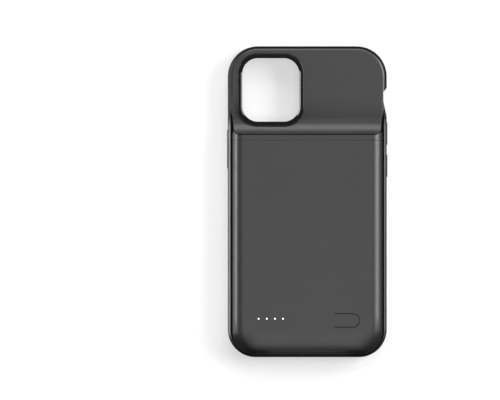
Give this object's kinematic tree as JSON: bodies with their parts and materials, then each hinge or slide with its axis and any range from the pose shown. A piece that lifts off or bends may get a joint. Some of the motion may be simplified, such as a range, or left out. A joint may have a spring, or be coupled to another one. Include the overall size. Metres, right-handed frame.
{
  "type": "battery charging case",
  "caption": "Slip-on battery case with a soft bumper frame, raised battery back behind a ramp, open camera window, push tongue, lamp row, side keys, inner plug and charging port.",
  "frame": {"origin": "centre of the plane of the front rim, on which the case lies with its rear side up", "axes": "+X towards the volume-key side seen from the rear, +Y towards the camera end, +Z out of the rear side"},
  "size_m": [0.084, 0.1628, 0.0165],
  "materials": {
    "frame_soft": "satin black soft bumper",
    "cover_matte": "soft-touch matte dark grey",
    "tray_plastic": "fine matte black",
    "ring_gloss": "polished black",
    "key_plastic": "satin black",
    "cell_foil": "matte pouch foil",
    "tape": "adhesive film",
    "foam": "closed-cell foam",
    "board": "black solder mask",
    "chip": "moulded black",
    "inductor": "pressed ferrite grey",
    "capacitor": "fired tan",
    "lamp": "clear white light guide",
    "steel": "plated steel",
    "gold": "gold plate",
    "lead_red": "wire jacket",
    "lead_black": "wire jacket",
    "ribbon": "amber film"
  },
  "bodies": {
    "case": {"bumper_frame": "frame_soft", "upper_back": "cover_matte", "rear_cover": "cover_matte", "inner_tray": "tray_plastic", "camera_ring": "ring_gloss", "battery_cell": "cell_foil", "cell_protection_board": "board", "cell_tabs": "steel", "cell_adhesive_pads": "tape", "cell_foam_pad": "foam", "main_board": "board", "board_chips": "chip", "power_inductor": "inductor", "board_capacitors": "capacitor", "indicator_leds": "lamp", "light_guide": "lamp", "board_screws": "steel", "power_switch": "chip", "dock_board": "board", "plug_collar": "tray_plastic", "plug_blade": "steel", "plug_contacts": "gold", "port_shell": "steel", "port_tongue": "chip", "port_contacts": "gold", "dock_ribbon": "ribbon", "lead_positive": "lead_red", "lead_negative": "lead_black"},
    "volume_up": {"volume_up_key": "key_plastic"},
    "volume_down": {"volume_down_key": "key_plastic"},
    "side": {"side_key": "key_plastic"},
    "tongue": {"power_button": "cover_matte"},
    "plunger": {"switch_plunger": "key_plastic"}
  },
  "joints": [
    {"name": "volume_up_press", "type": "slide", "parent": "case", "child": "volume_up", "axis": [-1, 0, 0], "range_m": [0, 0.0004], "stiffness_N_per_m": 300},
    {"name": "volume_down_press", "type": "slide", "parent": "case", "child": "volume_down", "axis": [-1, 0, 0], "range_m": [0, 0.0004], "stiffness_N_per_m": 300},
    {"name": "side_press", "type": "slide", "parent": "case", "child": "side", "axis": [1, 0, 0], "range_m": [0, 0.0004], "stiffness_N_per_m": 300},
    {"name": "tongue_press", "type": "hinge", "parent": "case", "child": "tongue", "pos_m": [0.0143, -0.0621, 0.01585], "axis": [0, 1, 0], "range_deg": [0, 1.8], "stiffness_Nm_per_rad": 0.02},
    {"name": "plunger_press", "type": "slide", "parent": "case", "child": "plunger", "axis": [0, 0, -1], "range_m": [0, 0.0003]}
  ],
  "couplings": [
    {"joint": "plunger_press", "follows": "tongue_press", "m_per_rad": 0.0092}
  ]
}
